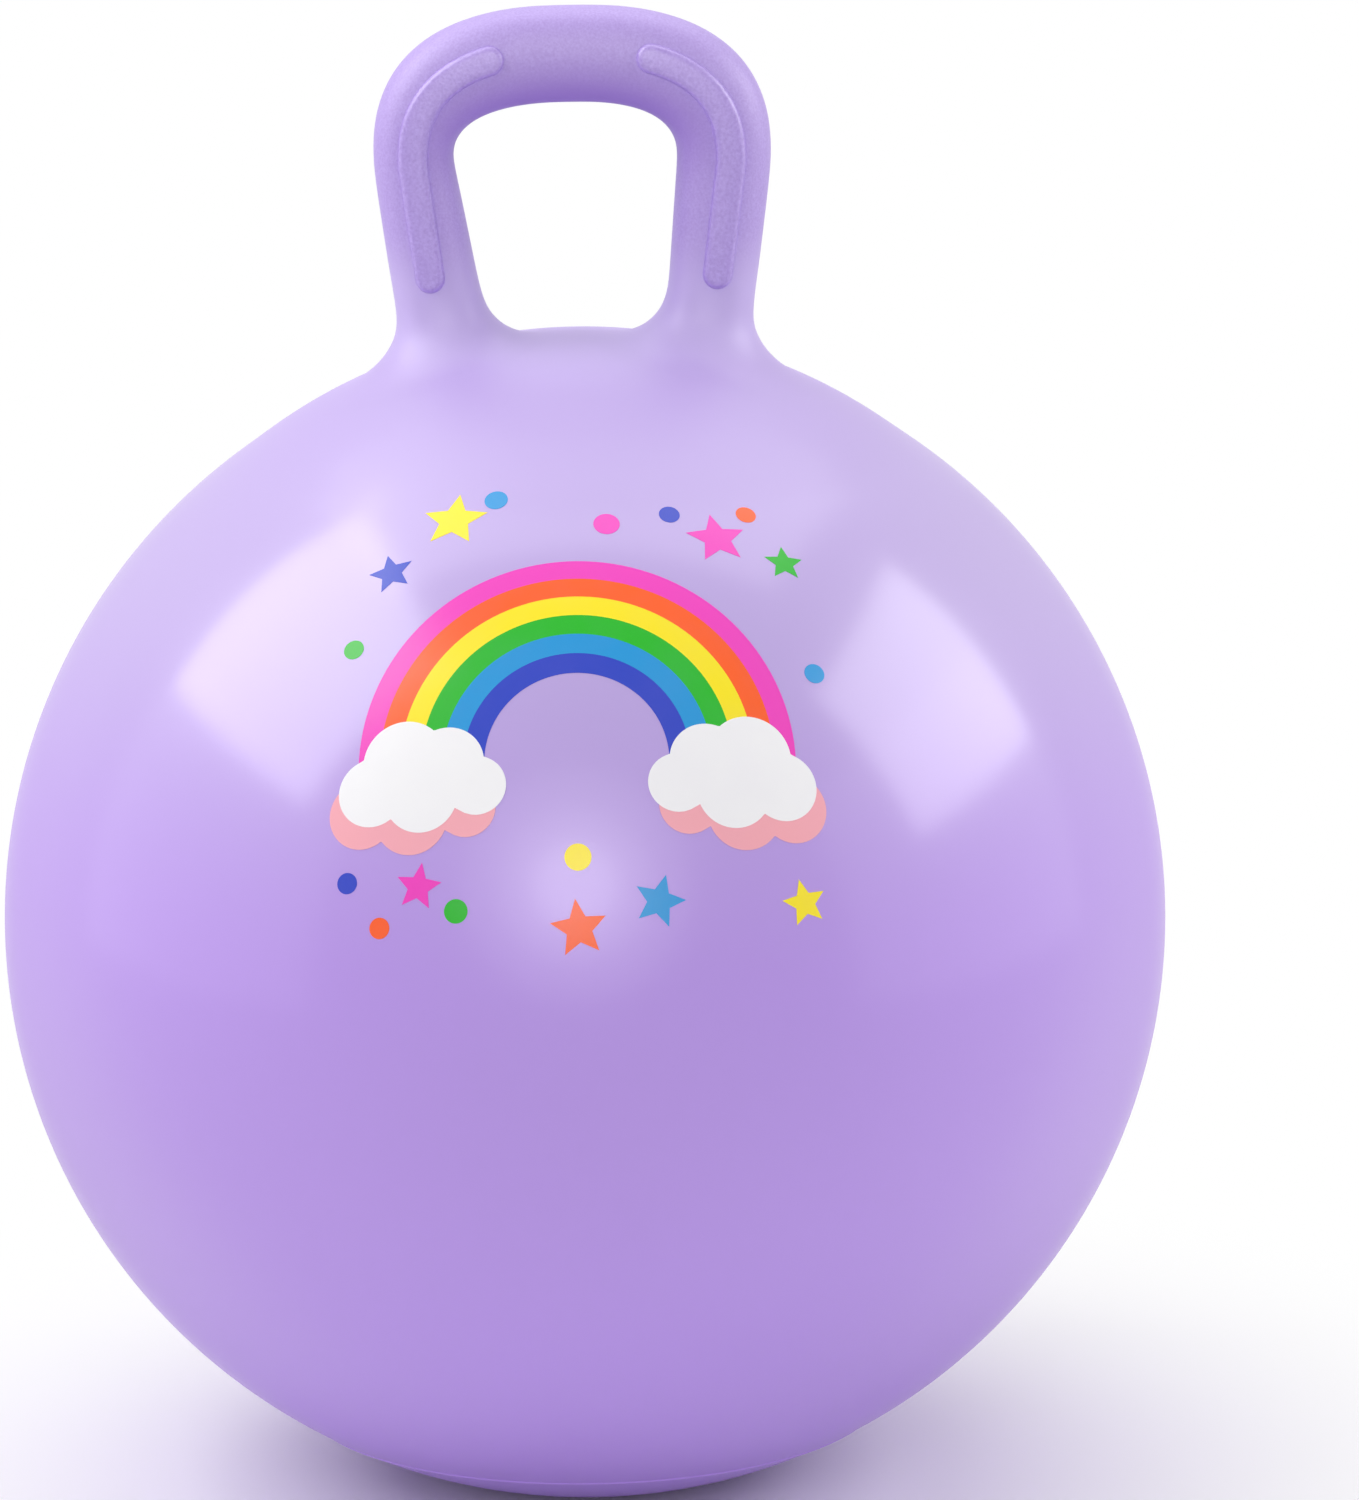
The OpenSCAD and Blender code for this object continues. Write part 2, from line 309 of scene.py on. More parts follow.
def pocket_section(radius, depth):
    """A spot on a ring round the valve's axis, at a depth below the skin."""
    def spot(turn, share):
        r = radius * HOLE_GROW * share
        y = math.sqrt((BALL_R - depth) ** 2 - r * r)
        return BALL_CENTRE + Vector((r * math.cos(turn), y, r * math.sin(turn)))
    return spot


def true_up_ball(obj):
    """Lays the ball's own vertices exactly on its outline, and eases off towards the feet and the hole."""
    foot = leg_point(1, leg_reach(CROWN_R))
    for vert in obj.data.vertices:
        p = vert.co - BALL_CENTRE
        from_valve = math.hypot(p.x, p.z) if p.y > 0 else BALL_R
        below = SKIN_BELOW_AT_POCKET if from_valve < POCKET_REACH else SKIN_BELOW
        if p.length > BALL_R + CROWN_RISE + SKIN_ABOVE or p.length < BALL_R - below:
            continue
        weight = 1.0
        if p.z > 0:
            out = abs(p.x) - foot.x
            a = abs(out) / (LEG_W / 2 + (FOOT_OUT if out > 0 else FOOT_IN))
            b = abs(p.y) / (BAR_T / 2 + FOOT_FRONT)
            far = (a ** BAR_POWER + b ** BAR_POWER) ** (1 / BAR_POWER)
            weight = max(0.0, min(1.0, (far - 1.0) / FOOT_EASE))
            weight = weight * weight * (3 - 2 * weight)
        if from_valve < HOLE_EDGE:
            weight = 0.0
        vert.co = vert.co.lerp(onto_ball(vert.co), weight)
        vert.co.z = max(vert.co.z, 0.0)
    obj.data.update()


def make_skin():
    """The ball and its handle, moulded in one skin."""
    nothing_selected()
    bpy.ops.mesh.primitive_cube_add(size=2 * BALL_R, location=BALL_CENTRE)
    skin = bpy.context.object
    skin.name = "skin"
    bpy.ops.object.mode_set(mode="EDIT")
    bpy.ops.mesh.subdivide(number_cuts=CAGE - 1)
    apply_modifier(skin, "CAST", cast_type="SPHERE", factor=1.0, use_radius_as_size=False, size=BALL_R)
    settle(skin)
    for vert in skin.data.vertices:
        vert.co = onto_ball(vert.co)

    step = 2 / CAGE
    for side in (1, -1):
        def in_foot(c, side=side):
            p = c - BALL_CENTRE
            return (
                p.z > 0 and abs(p.y / p.z) < FOOT_SPAN * step
                and abs(p.x / p.z - side * FOOT_AT * step) < FOOT_SPAN * step
            )

        def foot_marks(c, side=side):
            p = c - BALL_CENTRE
            u, v = p.x / p.z / step - side * FOOT_AT, p.y / p.z / step
            return square_turn(u, v), max(abs(u), abs(v)) / FOOT_SPAN

        edit_faces(skin, in_foot)
        mark_selected(skin, foot_marks)
        grow_rings(skin, handle_sections(side))
        bpy.ops.mesh.delete(type="FACE")

    bpy.ops.mesh.select_mode(type="EDGE")
    bpy.ops.mesh.select_all(action="DESELECT")
    bpy.ops.mesh.select_non_manifold()
    bpy.ops.mesh.bridge_edge_loops()

    def at_valve(c):
        p = c - BALL_CENTRE
        return p.y > 0 and abs(p.x / p.y) < step and abs(p.z / p.y) < step

    def valve_marks(c):
        p = c - BALL_CENTRE
        u, v = p.x / p.y / step, p.z / p.y / step
        return square_turn(u, v), max(abs(u), abs(v))

    edit_faces(skin, at_valve)
    mark_selected(skin, valve_marks)
    grow_rings(skin, [pocket_section(radius * MM, depth * MM) for radius, depth in POCKET_RINGS])

    apply_modifier(skin, "SUBSURF", levels=2, render_levels=2)
    true_up_ball(skin)
    for name in ("turn", "share"):
        skin.data.attributes.remove(skin.data.attributes[name])
    only(skin)
    bpy.ops.object.shade_smooth()
    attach(skin, "ball")
    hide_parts("ball_skin")
    return skin


def ridge_line():
    """Places along a ridge, from its upper end on the bar down to its lower end on the leg."""
    ridge_x = SHOULDER_X + RIDGE_OUT
    start = math.acos((RIDGE_END_X / ridge_x) ** (ARCH_POWER / 2))
    steps = 60
    line = []
    for i in range(steps):
        x, z = superellipse(start * (1 - i / steps), ridge_x, RIDGE_RISE, ARCH_POWER)
        line.append(Vector((x, 0, SHOULDER_Z + z)))
    leg = (SHOULDER_Z - BALL_R - RIDGE_END_Z) / math.cos(LEG_LEAN)
    for i in range(steps + 1):
        line.append(leg_point(1, leg * i / steps) + Vector((RIDGE_OUT, 0, 0)))
    return line


def walk(line, distance):
    """The point at a distance along a line, and the direction there."""
    for a, b in zip(line, line[1:]):
        length = (b - a).length
        if distance <= length or b is line[-1]:
            return a.lerp(b, distance / length), (b - a).normalized()
        distance -= length


def ridge_height(along, across, total):
    """How far a ridge stands above the handle: it rises in a round edge from its root to a flat back."""
    r = RIDGE_W / 2
    past_end = max(r - along, along - (total - r), 0)
    edge = max(0.0, min(1.0, (r - math.hypot(past_end, across)) / RIDGE_EDGE))
    return (RIDGE_H + RIDGE_ROOT) * math.sqrt(1 - (1 - edge) ** 2) - RIDGE_ROOT


def make_ridges(skin):
    """Four raised ridges, front and back on both legs: one is laid on the handle, the others mirror it."""
    line = ridge_line()
    total = sum((b - a).length for a, b in zip(line, line[1:]))
    r = RIDGE_W / 2
    bends = [math.radians(d) for d in (6, 16, 27, 39, 52, 66, 80)]
    rows = [(r * (1 - math.cos(b)), r * math.sin(b)) for b in bends]
    body = 48
    rows += [(r + (total - 2 * r) * i / body, r) for i in range(body + 1)]
    rows += [(total - s, half) for s, half in reversed(rows[:len(bends)])]
    columns = 14

    nothing_selected()
    bpy.ops.mesh.primitive_grid_add(x_subdivisions=columns, y_subdivisions=len(rows) - 1, size=2)
    ridge = bpy.context.object
    ridge.name = "grip_ridge_front_right"
    heights = []
    for vert in ridge.data.vertices:
        distance, half = rows[round((vert.co.y + 1) / 2 * (len(rows) - 1))]
        offset = half * math.sin(vert.co.x * math.pi / 2)
        at, way = walk(line, distance)
        across = Vector((way.z, 0, -way.x))
        vert.co = BALL_CENTRE + at + offset * across - 2 * BAR_T * Y_AXIS
        heights.append(ridge_height(distance, offset, total))
    ridge.data.update()
    apply_modifier(
        ridge, "SHRINKWRAP", target=skin, wrap_method="PROJECT", wrap_mode="ON_SURFACE",
        use_project_y=True, use_positive_direction=True, use_negative_direction=False,
    )
    outward = [vert.normal.copy() for vert in ridge.data.vertices]
    for vert, normal, height in zip(ridge.data.vertices, outward, heights):
        vert.co += height * normal
    ridge.data.update()
    apply_modifier(ridge, "SOLIDIFY", thickness=RIDGE_WALL, offset=-1)
    only(ridge)
    bpy.ops.object.shade_smooth()

    ridges = [ridge]
    flips = {"front_left": (-1, 1, 1), "back_right": (1, -1, 1), "back_left": (-1, -1, 1)}
    for name, flip in flips.items():
        only(ridge)
        bpy.ops.object.duplicate()
        copy = bpy.context.object
        copy.name = "grip_ridge_" + name
        copy.scale = flip
        settle(copy)
        bpy.ops.object.mode_set(mode="EDIT")
        bpy.ops.mesh.select_all(action="SELECT")
        bpy.ops.mesh.normals_make_consistent(inside=False)
        bpy.ops.object.mode_set(mode="OBJECT")
        ridges.append(copy)
    for piece in ridges:
        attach(piece, "ball")
    return ridges


def make_lid_ring():
    """The fine raised ring that the mould's lid leaves round the underside."""
    polar = math.asin(RING_R / BALL_R)
    out = Vector((math.sin(polar), 0, -math.cos(polar)))
    nothing_selected()
    bpy.ops.mesh.primitive_circle_add(
        vertices=16, radius=RING_BEAD, location=BALL_CENTRE + (BALL_R + RING_PROUD - RING_BEAD) * out,
        rotation=(math.pi / 2, 0, 0),
    )
    ring = bpy.context.object
    ring.name = "lid_ring"
    settle(ring)
    bpy.ops.object.mode_set(mode="EDIT")
    bpy.ops.mesh.select_all(action="SELECT")
    bpy.ops.mesh.spin(steps=240, angle=math.tau, center=(0, 0, 0), axis=(0, 0, 1))
    bpy.ops.mesh.select_all(action="SELECT")
    bpy.ops.mesh.remove_doubles(threshold=0.01 * MM)
    bpy.ops.mesh.normals_make_consistent(inside=False)
    bpy.ops.object.mode_set(mode="OBJECT")
    bpy.ops.object.shade_smooth()
    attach(ring, "ball")
    return ring


# The print: a flat layout in millimetres, right and up from its middle, wrapped on the front of the ball.
PRINT_RISE = math.radians(34.3)
PRINT_OUT = Vector((0, -math.cos(PRINT_RISE), math.sin(PRINT_RISE)))
PRINT_RIGHT = Vector((1, 0, 0))
PRINT_UP = PRINT_OUT.cross(PRINT_RIGHT)
INK_T = 0.3 * MM
# How far each film's face stands above the skin, in millimetres.
INK_LIFT = 0.1
SHADE_LIFT = 0.16
CLOUD_LIFT = 0.22


def on_print(right, up, lift):
    """The point of the ball under a point of the flat layout, a little above the skin."""
    away = math.hypot(right, up)
    turn = away * MM / BALL_R
    way = (PRINT_RIGHT * right + PRINT_UP * up) / away if away else PRINT_UP
    out = PRINT_OUT * math.cos(turn) + way * math.sin(turn)
    return onto_ball(BALL_CENTRE + out) + out * lift * MM


def ink_film(obj, lift):
    """Wraps a flat patch on the ball and gives it the thickness of a film of ink."""
    settle(obj)
    for vert in obj.data.vertices:
        vert.co = on_print(vert.co.x / MM, vert.co.y / MM, lift)
    obj.data.update()
    apply_modifier(obj, "SOLIDIFY", thickness=INK_T, offset=-1, use_even_offset=True)
    smooth_by_angle(obj, 40)
    return obj


def band(centre, inner, outer, steps=72):
    """One band of the arch."""
    nothing_selected()
    bpy.ops.mesh.primitive_grid_add(x_subdivisions=steps, y_subdivisions=2, size=2)
    obj = bpy.context.object
    for vert in obj.data.vertices:
        turn = math.pi * (1 - vert.co.x) / 2
        r = inner + (outer - inner) * (vert.co.y + 1) / 2
        vert.co = Vector((centre[0] + r * math.cos(turn), centre[1] + r * math.sin(turn), 0)) * MM
    return ink_film(obj, INK_LIFT)


def patch(centre, outline, lift, points, cuts, lean=0.0):
    """A patch whose outline is a distance from its centre at each angle."""
    nothing_selected()
    bpy.ops.mesh.primitive_circle_add(vertices=points, radius=1, fill_type="TRIFAN")
    obj = bpy.context.object
    for vert in obj.data.vertices:
        r, turn = 0.0, 0.0
        if vert.co.length > 0.5:
            turn = math.atan2(vert.co.y, vert.co.x)
            r = outline(turn)
        turn += lean
        vert.co = Vector((centre[0] + r * math.cos(turn), centre[1] + r * math.sin(turn), 0)) * MM
    bpy.ops.object.mode_set(mode="EDIT")
    bpy.ops.mesh.select_all(action="SELECT")
    bpy.ops.mesh.subdivide(number_cuts=cuts)
    bpy.ops.object.mode_set(mode="OBJECT")
    return ink_film(obj, lift)


def star(centre, size, lean, tips=5, waist=0.46):
    def outline(turn):
        corner = round((turn - math.pi / 2) * tips / math.pi)
        return size if corner % 2 == 0 else size * waist
    return patch(centre, outline, INK_LIFT, 2 * tips, 3, lean)


def dot(centre, size):
    return patch(centre, lambda turn: size, INK_LIFT, 40, 1)


def cloud(centre, lobes, lift):
    """A cloud: the outline round a few overlapping discs, each given as right, up and radius."""
    def outline(turn):
        far = 0.0
        way = (math.cos(turn), math.sin(turn))
        for x, y, r in lobes:
            along = x * way[0] + y * way[1]
            off = r * r - (x * x + y * y - along * along)
            if off > 0:
                far = max(far, along + math.sqrt(off))
        return far
    return patch(centre, outline, lift, 160, 3)


def inked(name, films):
    """Joins the films of one ink into one piece."""
    nothing_selected()
    for film in films:
        film.select_set(True)
    bpy.context.view_layer.objects.active = films[0]
    if len(films) > 1:
        bpy.ops.object.join()
    piece = bpy.context.object
    piece.name = "print_" + name
    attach(piece, "ball")
    return piece


def make_print():
    """An arch of six bands between two clouds, with stars and dots round it."""
    middle = (0, -22)
    inner, width = 34, 8
    bands = [band(middle, inner + width * i, inner + width * (i + 1)) for i in range(6)]
    films = {
        "royal_blue": [bands[0], star((-70, 62), 9, 0.2), dot((36, 84), 4), dot((-88, -62), 4)],
        "sky_blue": [bands[1], star((30, -74), 10, -0.25), dot((-30, 92), 4.5), dot((90, 18), 4)],
        "green": [bands[2], star((80, 66), 8, 0.1), dot((-46, -76), 4.5), dot((-84, 30), 4)],
        "yellow": [bands[3], star((-46, 84), 13, -0.15), star((86, -72), 9, 0.3), dot((0, -58), 5)],
        "orange": [bands[4], star((0, -84), 11, 0.12), dot((66, 88), 4), dot((-76, -80), 4)],
        "hot_pink": [bands[5], star((54, 74), 12, 0.2), star((-60, -66), 9, -0.2), dot((12, 78), 5)],
    }
    out, up = 58, -26
    shade_out, shade_up = out + 4, up - 8
    right_lobes = ((19, -3, 13), (6, 7, 16), (-10, 5, 14), (-21, -4, 11), (0, -6, 14))
    left_lobes = [(-x, y, r) for x, y, r in right_lobes]
    films["white"] = [
        cloud((-out, up), left_lobes, CLOUD_LIFT),
        cloud((out, up), right_lobes, CLOUD_LIFT),
    ]
    films["pale_pink"] = [
        cloud((-shade_out, shade_up), left_lobes, SHADE_LIFT),
        cloud((shade_out, shade_up), right_lobes, SHADE_LIFT),
    ]
    return {name: inked(name, patches) for name, patches in films.items()}


def new_material(name):
    material = bpy.data.materials.new(name)
    material.use_nodes = True
    nodes = material.node_tree.nodes
    return material, nodes, material.node_tree.links, nodes["Principled BSDF"]


def noise(nodes, links, coords, scale, detail=2.0):
    node = nodes.new("ShaderNodeTexNoise")
    node.inputs["Scale"].default_value = scale
    node.inputs["Detail"].default_value = detail
    links.new(coords, node.inputs["Vector"])
    return node.outputs["Fac"]


def remap(nodes, links, value, from_low, from_high, to_low, to_high, smooth=False):
    node = nodes.new("ShaderNodeMapRange")
    node.interpolation_type = "SMOOTHSTEP" if smooth else "LINEAR"
    node.inputs["From Min"].default_value = from_low
    node.inputs["From Max"].default_value = from_high
    node.inputs["To Min"].default_value = to_low
    node.inputs["To Max"].default_value = to_high
    links.new(value, node.inputs["Value"])
    return node.outputs["Result"]


def mix_colour(nodes, links, factor, a, b):
    node = nodes.new("ShaderNodeMix")
    node.data_type = "RGBA"
    links.new(factor, node.inputs["Factor"])
    for key, colour in (("A", a), ("B", b)):
        socket = next(s for s in node.inputs if s.name == key and s.type == "RGBA")
        if isinstance(colour, tuple):
            socket.default_value = (*colour, 1)
        else:
            links.new(colour, socket)
    return next(s for s in node.outputs if s.type == "RGBA")


def maths(nodes, links, operation, a, b):
    node = nodes.new("ShaderNodeMath")
    node.operation = operation
    links.new(a, node.inputs[0])
    links.new(b, node.inputs[1])
    return node.outputs[0]


def distance_from(nodes, links, coords, place, size):
    """How far the surface is from a place, in units of a size along each axis."""
    mapping = nodes.new("ShaderNodeMapping")
    mapping.vector_type = "TEXTURE"
    mapping.inputs["Location"].default_value = place
    mapping.inputs["Scale"].default_value = size
    links.new(coords, mapping.inputs["Vector"])
    length = nodes.new("ShaderNodeVectorMath")
    length.operation = "LENGTH"
    links.new(mapping.outputs["Vector"], length.inputs[0])
    return length.outputs["Value"]


def add_bump(nodes, links, height, strength, distance, shader):
    node = nodes.new("ShaderNodeBump")
    node.inputs["Distance"].default_value = distance
    if isinstance(strength, float):
        node.inputs["Strength"].default_value = strength
    else:
        links.new(strength, node.inputs["Strength"])
    links.new(height, node.inputs["Height"])
    links.new(node.outputs["Normal"], shader.inputs["Normal"])


def object_coords(nodes):
    return nodes.new("ShaderNodeTexCoord").outputs["Object"]


def skin_material():
    """Lavender PVC: glossy ball, satin and sandy handle, with painted light that makes the ball's colour
    lighter towards the top and at the feet, and painted shade that makes the handle deeper under the bar.
    """
    material, nodes, links, shader = new_material("lavender_skin")
    coords = object_coords(nodes)
    split = nodes.new("ShaderNodeSeparateXYZ")
    links.new(coords, split.inputs["Vector"])

    # Each look gives way to the next between two heights over the floor, in metres.
    def by_height(low, high, at_low=0, at_high=1):
        return remap(nodes, links, split.outputs["Z"], low, high, at_low, at_high, smooth=True)

    handle = by_height(0.472, 0.500)
    crown = by_height(0.385, 0.435)
    # Painted light: the ball's colour turns lighter and less deep towards the top, where the lamps fall
    # brightest.
    painted_top_light = by_height(0.245, 0.38)
    # Painted light: the feet are made lighter in colour to stand in for the sheen they catch.
    feet = maths(nodes, links, "MULTIPLY", by_height(0.440, 0.454), by_height(0.470, 0.500, 1, 0))
    # Painted shade: the handle's colour turns darker and deeper under the bar, where shade falls; these lines
    # find that place.
    gap_top = (0, 0, BALL_Z + SHOULDER_Z)
    gap_half = (0.85 * (HANDLE_W / 2 - LEG_W), 1, ARCH_H - BAR_W)
    from_gap = distance_from(nodes, links, coords, gap_top, gap_half)
    near_gap = remap(nodes, links, from_gap, 1.0, 2.1, 1, 0, smooth=True)
    painted_shade_under_bar = maths(nodes, links, "MULTIPLY", near_gap, by_height(0.500, 0.545))

    cloudy = noise(nodes, links, coords, 7, 3)
    grain = noise(nodes, links, coords, 1100, 2)
    sandy = remap(nodes, links, grain, 0.3, 0.7, 0, 1)
    ball_colour = mix_colour(nodes, links, cloudy, (0.426, 0.252, 0.750), (0.451, 0.272, 0.775))
    # The lighter colour painted on the ball's top is painted light.
    painted_top_light_colour = mix_colour(nodes, links, cloudy, (0.455, 0.340, 0.692), (0.480, 0.363, 0.720))
    handle_colour = mix_colour(nodes, links, sandy, (0.380, 0.262, 0.645), (0.455, 0.331, 0.730))
    # Painted shade under the bar.
    handle_colour = mix_colour(nodes, links, painted_shade_under_bar, handle_colour, (0.335, 0.212, 0.610))
    ball_colour = mix_colour(nodes, links, painted_top_light, ball_colour, painted_top_light_colour)
    # Painted light at the feet.
    ball_colour = mix_colour(nodes, links, feet, ball_colour, (0.510, 0.400, 0.755))
    colour = mix_colour(nodes, links, handle, ball_colour, handle_colour)
    links.new(colour, shader.inputs["Base Color"])

    even = remap(nodes, links, crown, 0, 1, 0.40, 0.50)
    uneven = remap(nodes, links, cloudy, 0.3, 0.7, -0.02, 0.02)
    links.new(maths(nodes, links, "ADD", even, uneven), shader.inputs["Roughness"])
    add_bump(nodes, links, grain, remap(nodes, links, handle, 0, 1, 0.06, 0.2), 0.0003, shader)

    # The gloss eases off towards the ball's rim.
    facing = nodes.new("ShaderNodeLayerWeight").outputs["Facing"]
    satin = remap(nodes, links, crown, 0, 1, 0.3, 0.9)
    links.new(remap(nodes, links, facing, 0.45, 0.85, 0.3, 0.08, smooth=True), satin.node.inputs["To Min"])
    # The gloss is also turned down under the bar, where shade falls.
    links.new(remap(nodes, links, painted_shade_under_bar, 0, 1, 0.9, 0.1), satin.node.inputs["To Max"])
    links.new(satin, shader.inputs["Specular IOR Level"])
    gloss = remap(nodes, links, crown, 0, 1, 1.0, 0.0)
    links.new(remap(nodes, links, facing, 0.45, 0.85, 1.0, 0.35, smooth=True), gloss.node.inputs["To Min"])
    links.new(gloss, shader.inputs["Coat Weight"])
    shader.inputs["IOR"].default_value = 1.53
    shader.inputs["Coat Roughness"].default_value = 0.17
    shader.inputs["Coat IOR"].default_value = 1.6
    return material


def ridge_material():
    """The ridges' fine sand-like grain."""
    material, nodes, links, shader = new_material("lavender_grip")
    coords = object_coords(nodes)
    cloudy = noise(nodes, links, coords, 60, 3)
    grain = noise(nodes, links, coords, 900, 3)
    sandy = remap(nodes, links, grain, 0.3, 0.7, 0, 1)
    colour = mix_colour(nodes, links, sandy, (0.345, 0.230, 0.625), (0.445, 0.316, 0.740))
    links.new(colour, shader.inputs["Base Color"])
    links.new(remap(nodes, links, cloudy, 0.3, 0.7, 0.32, 0.38), shader.inputs["Roughness"])
    shader.inputs["IOR"].default_value = 1.53
    shader.inputs["Specular IOR Level"].default_value = 1.0
    add_bump(nodes, links, grain, 0.25, 0.0005, shader)
    return material


def ink_material(name, colour):
    """A flat ink that takes the skin's gloss, a little uneven in its cover."""
    material, nodes, links, shader = new_material("ink_" + name)
    coords = object_coords(nodes)
    cover = noise(nodes, links, coords, 45, 3)
    thin = tuple(0.97 * c + 0.03 * s for c, s in zip(colour, (0.42, 0.28, 0.73)))
    ink = mix_colour(nodes, links, remap(nodes, links, cover, 0.3, 0.7, 0, 1), thin, colour)
    links.new(ink, shader.inputs["Base Color"])
    links.new(remap(nodes, links, cover, 0.3, 0.7, 0.24, 0.27), shader.inputs["Roughness"])
    shader.inputs["IOR"].default_value = 1.53
    return material


def valve_material(name, low, high, rough):
    """A soft moulded plastic with a faint mottle."""
    material, nodes, links, shader = new_material(name)
    coords = object_coords(nodes)
    mottle = noise(nodes, links, coords, 220, 3)
    links.new(mix_colour(nodes, links, mottle, low, high), shader.inputs["Base Color"])
    links.new(remap(nodes, links, mottle, 0.3, 0.7, rough - 0.04, rough + 0.04), shader.inputs["Roughness"])
    add_bump(nodes, links, noise(nodes, links, coords, 1500, 2), 0.1, 0.0002, shader)
    return material


def dress(obj, material):
    obj.data.materials.clear()
    obj.data.materials.append(material)


skin = make_skin()
ridges = make_ridges(skin)
lid_ring = make_lid_ring()
prints = make_print()

lavender = skin_material()
dress(skin, lavender)
dress(lid_ring, lavender)
grip = ridge_material()
for piece in ridges:
    dress(piece, grip)
INKS = {
    "royal_blue": (0.013, 0.045, 0.52),
    "sky_blue": (0.004, 0.30, 0.68),
    "green": (0.004, 0.46, 0.004),
    "yellow": (0.97, 0.79, 0.004),
    "orange": (0.98, 0.11, 0.003),
    "hot_pink": (0.87, 0.045, 0.51),
    "white": (0.92, 0.91, 0.93),
    "pale_pink": (0.92, 0.40, 0.46),
}
for name, piece in prints.items():
    dress(piece, ink_material(name, INKS[name]))
seat_pvc = valve_material("valve_pvc", (0.36, 0.23, 0.64), (0.40, 0.27, 0.69), 0.45)
dress(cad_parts["valve_seat"], seat_pvc)
stopper_white = valve_material("stopper_white", (0.80, 0.80, 0.78), (0.87, 0.87, 0.85), 0.38)
dress(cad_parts["valve_plug"], stopper_white)


# The floor lies just under the ball, and its shadow fades out between two distances from the middle.
FLOOR_SIZE = 30
FLOOR_GAP = 0.2 * MM
FADE_FROM = 0.12
FADE_TO = 0.44


def seen_rays(nodes, links):
    """1 for rays from the camera, from gloss and through clear matter, 0 for the light on matt surfaces."""
    path = nodes.new("ShaderNodeLightPath")
    value = path.outputs["Is Camera Ray"]
    for kind in ("Is Glossy Ray", "Is Transmission Ray"):
        value = maths(nodes, links, "MAXIMUM", value, path.outputs[kind])
    return value


def floor_material():
    """A pale floor that takes the shadow, and runs out to plain white for the camera and reflections."""
    material, nodes, links, shader = new_material("pale_floor")
    shader.inputs["Base Color"].default_value = (0.95, 0.95, 0.95, 1)
    shader.inputs["Roughness"].default_value = 0.9
    shader.inputs["Specular IOR Level"].default_value = 0.0
    away = nodes.new("ShaderNodeVectorMath")
    away.operation = "LENGTH"
    links.new(object_coords(nodes), away.inputs[0])
    far = remap(nodes, links, away.outputs["Value"], FADE_FROM, FADE_TO, 0, 1, smooth=True)
    share = maths(nodes, links, "MULTIPLY", far, seen_rays(nodes, links))
    white = nodes.new("ShaderNodeEmission")
    white.inputs["Strength"].default_value = 1.0
    blend = nodes.new("ShaderNodeMixShader")
    links.new(share, blend.inputs["Fac"])
    links.new(shader.outputs["BSDF"], blend.inputs[1])
    links.new(white.outputs["Emission"], blend.inputs[2])
    links.new(blend.outputs["Shader"], nodes["Material Output"].inputs["Surface"])
    return material


nothing_selected()
bpy.ops.mesh.primitive_plane_add(size=FLOOR_SIZE, location=(0, 0, -FLOOR_GAP))
floor = bpy.context.object
floor.name = "studio_floor"
settle(floor)
dress(floor, floor_material())

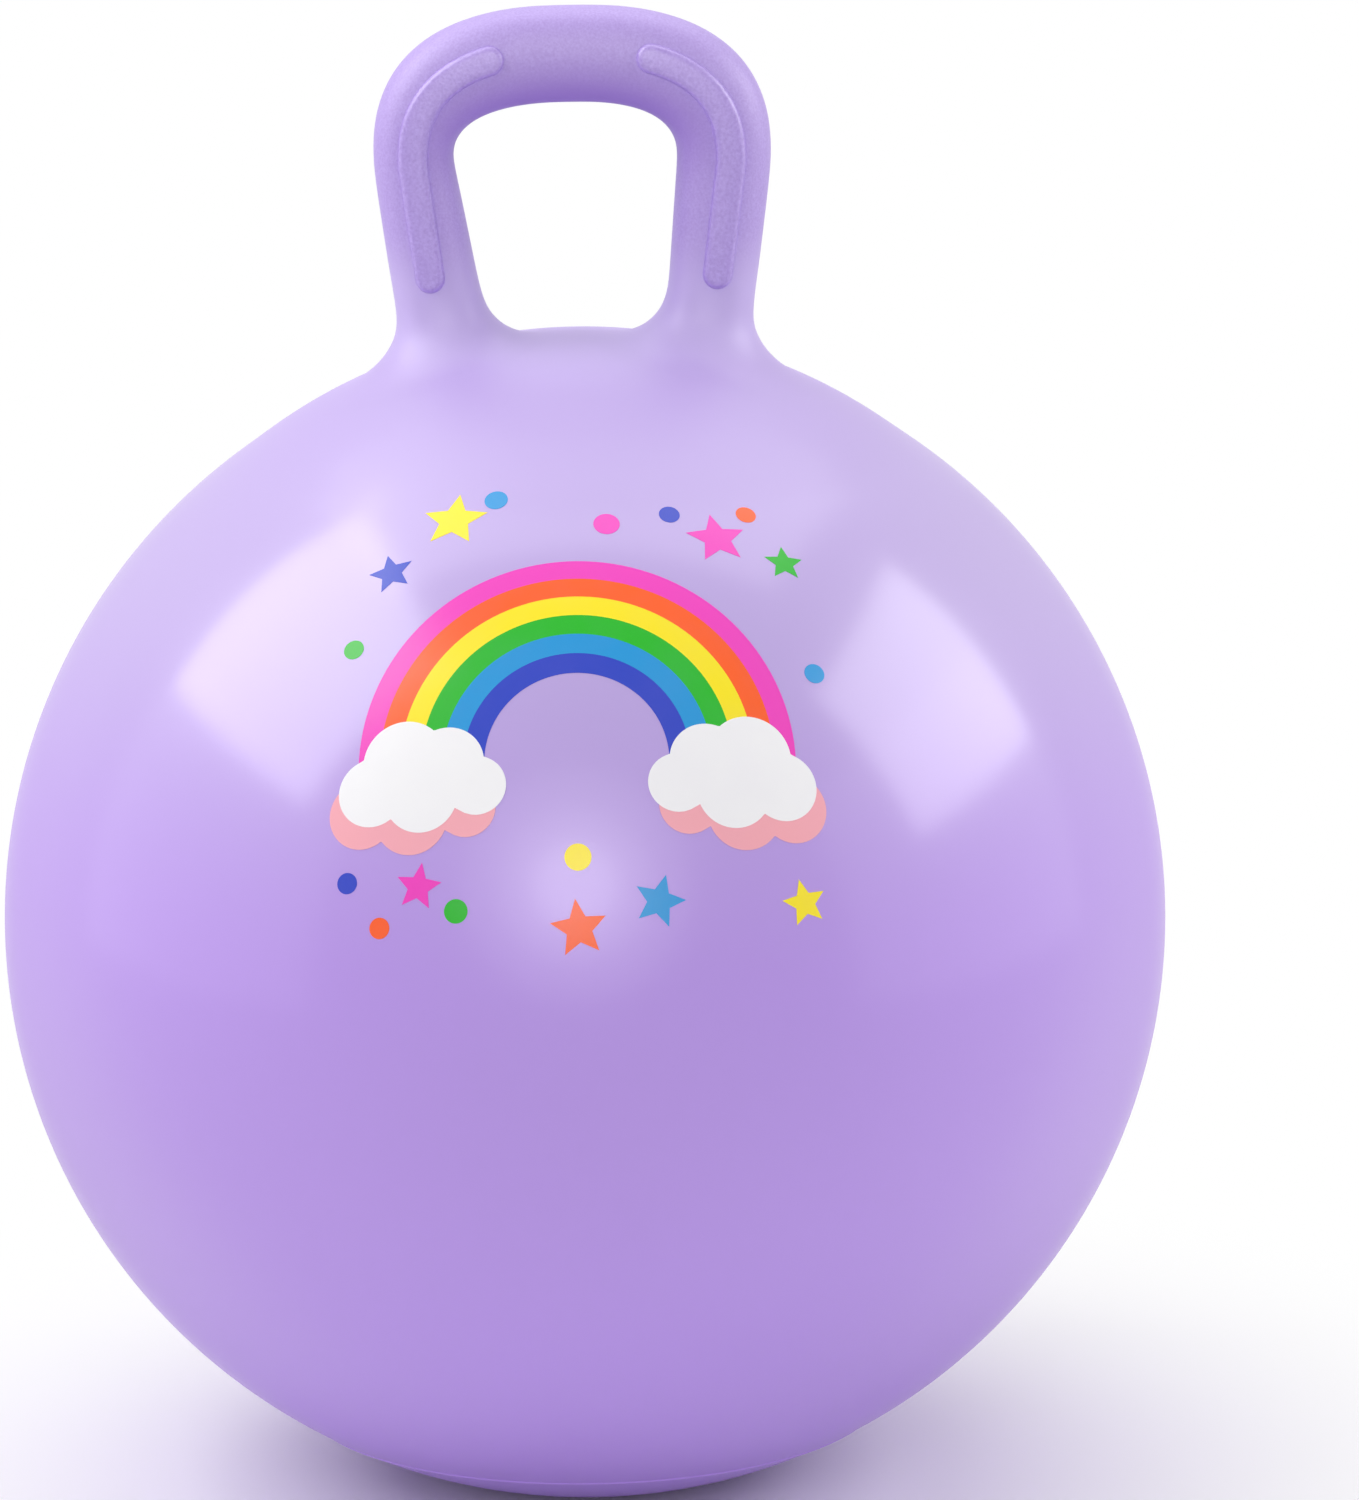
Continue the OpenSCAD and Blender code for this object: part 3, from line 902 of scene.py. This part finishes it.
# The camera, at the photograph's angle and framing.
CAMERA_RISE = math.radians(13)
CAMERA_AWAY = 3.5
CAMERA_ROLL = math.radians(0.85)
CAMERA_ASIDE = 37.5 * MM
CAMERA_LIFT = 64 * MM
CAMERA_LENS = 216.2
BACK = Vector((0, -math.cos(CAMERA_RISE), math.sin(CAMERA_RISE)))
UP = Vector((0, math.sin(CAMERA_RISE), math.cos(CAMERA_RISE)))
RIGHT = Vector((1, 0, 0))
lens = bpy.data.cameras.new("camera")
lens.sensor_width = 36
lens.lens = CAMERA_LENS
camera = bpy.data.objects.new("camera", lens)
bpy.context.scene.collection.objects.link(camera)
camera.location = BALL_CENTRE + CAMERA_ASIDE * RIGHT + CAMERA_LIFT * UP + CAMERA_AWAY * BACK
camera.rotation_mode = "QUATERNION"
camera.rotation_quaternion = Quaternion(BACK, -CAMERA_ROLL) @ (-BACK).to_track_quat("-Z", "Y")
lens.clip_end = 100
bpy.context.scene.camera = camera


def softbox(name, direction, away, width, height, radiance, shape="RECTANGLE"):
    """A soft studio lamp in a direction given as right, up and towards the camera."""
    way = (direction[0] * RIGHT + direction[1] * UP + direction[2] * BACK).normalized()
    lamp = bpy.data.lights.new(name, "AREA")
    lamp.shape = shape
    lamp.size, lamp.size_y = width, height
    lamp.energy = radiance * math.pi * width * height
    obj = bpy.data.objects.new(name, lamp)
    bpy.context.scene.collection.objects.link(obj)
    obj.location = BALL_CENTRE + away * way
    obj.rotation_mode = "QUATERNION"
    obj.rotation_quaternion = (-way).to_track_quat("-Z", "Y")


softbox("softbox_left", (-0.69, 0.68, 0.24), 1.5, 1.25, 0.95, 3.3)
softbox("softbox_right", (0.844, 0.519, 0.137), 1.5, 1.06, 0.78, 2.9)
softbox("side_left", (-0.97, 0.12, 0.20), 1.8, 2.0, 1.6, 0.38)
softbox("side_right", (0.97, 0.12, 0.20), 1.8, 2.0, 1.6, 0.45)
softbox("overhead", (0.0, 0.98, -0.10), 1.8, 2.2, 1.5, 1.3)
softbox("front_core", (-0.02, 0.12, 1.0), 4.2, 1.2, 1.2, 1.6, "ELLIPSE")
softbox("front_fill", (-0.02, 0.12, 1.0), 4.25, 2.2, 2.2, 0.8, "ELLIPSE")
softbox("front_halo", (-0.02, 0.12, 1.0), 4.3, 3.4, 3.4, 0.6, "ELLIPSE")

world = bpy.data.worlds.new("studio")
bpy.context.scene.world = world
world.use_nodes = True
nodes, links = world.node_tree.nodes, world.node_tree.links
background = nodes["Background"]
background.inputs["Color"].default_value = (1, 1, 1, 1)
links.new(remap(nodes, links, seen_rays(nodes, links), 0, 1, 0.28, 1.0), background.inputs["Strength"])

bpy.context.scene.view_settings.view_transform = "Standard"
